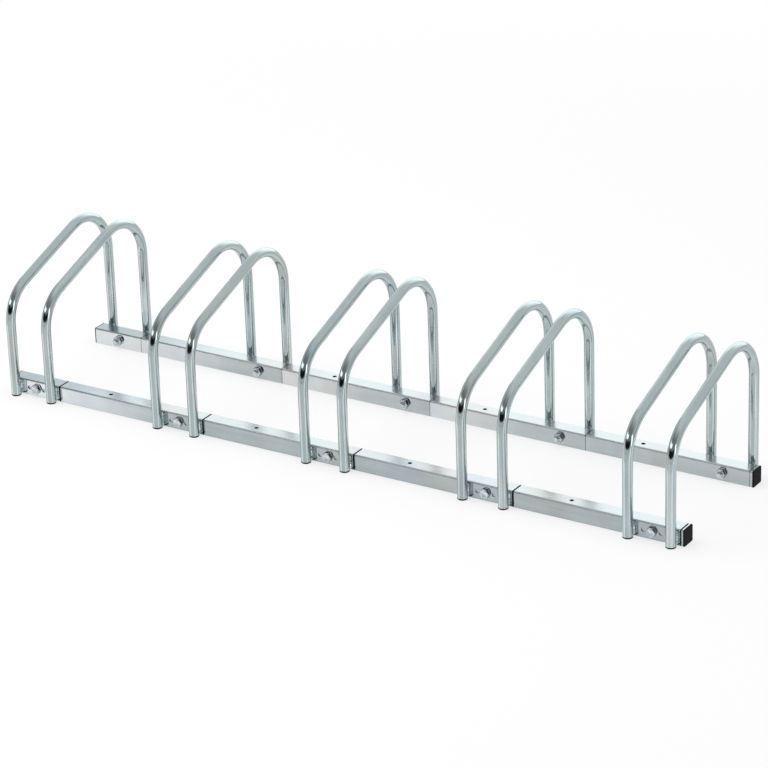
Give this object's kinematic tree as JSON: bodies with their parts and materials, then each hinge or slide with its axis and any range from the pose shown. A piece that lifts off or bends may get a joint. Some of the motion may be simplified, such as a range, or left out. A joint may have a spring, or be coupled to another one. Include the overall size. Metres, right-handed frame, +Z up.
{
  "type": "floor bike rack",
  "caption": "Low floor bike rack: pairs of bent steel hoops, each holding a wheel, welded to plug-together square rails bolted at the joints.",
  "frame": {"origin": "middle of the rack's outline on the floor", "axes": "+Z up, +X along the rack towards its bolted end plugs, a wheel rolls in along +Y, over the lower end of the hoops"},
  "size_m": [1.4394, 0.337, 0.2869],
  "materials": {
    "hoop_tube": "bright zinc plating with faint drawing lines along the tube",
    "rail_tube": "bright zinc plating, smooth and softly mirroring",
    "inner_tube": "plain zinc-plated steel, duller than the rails",
    "weld_bead": "rippled weld under zinc plating",
    "fastener": "bright zinc-plated hexagon bolt and nut",
    "black_plastic": "black moulded plastic, fine satin grain"
  },
  "bodies": {
    "root": {"hoop_left_1": "hoop_tube", "hoop_right_1": "hoop_tube", "front_rail_1": "rail_tube", "rear_rail_1": "rail_tube", "welds_1": "weld_bead", "foot_plugs_1": "black_plastic", "front_plug_tube_1": "inner_tube", "rear_plug_tube_1": "inner_tube", "hoop_left_2": "hoop_tube", "hoop_right_2": "hoop_tube", "front_rail_2": "rail_tube", "rear_rail_2": "rail_tube", "welds_2": "weld_bead", "foot_plugs_2": "black_plastic", "front_plug_tube_2": "inner_tube", "rear_plug_tube_2": "inner_tube", "hoop_left_3": "hoop_tube", "hoop_right_3": "hoop_tube", "front_rail_3": "rail_tube", "rear_rail_3": "rail_tube", "welds_3": "weld_bead", "foot_plugs_3": "black_plastic", "front_plug_tube_3": "inner_tube", "rear_plug_tube_3": "inner_tube", "hoop_left_4": "hoop_tube", "hoop_right_4": "hoop_tube", "front_rail_4": "rail_tube", "rear_rail_4": "rail_tube", "welds_4": "weld_bead", "foot_plugs_4": "black_plastic", "front_plug_tube_4": "inner_tube", "rear_plug_tube_4": "inner_tube", "hoop_left_5": "hoop_tube", "hoop_right_5": "hoop_tube", "front_rail_5": "rail_tube", "rear_rail_5": "rail_tube", "welds_5": "weld_bead", "foot_plugs_5": "black_plastic", "front_end_plug": "rail_tube", "front_left_cap": "black_plastic", "front_right_cap": "black_plastic", "rear_end_plug": "rail_tube", "rear_left_cap": "black_plastic", "rear_right_cap": "black_plastic", "bolts": "fastener", "nuts": "fastener"}
  },
  "joints": []
}
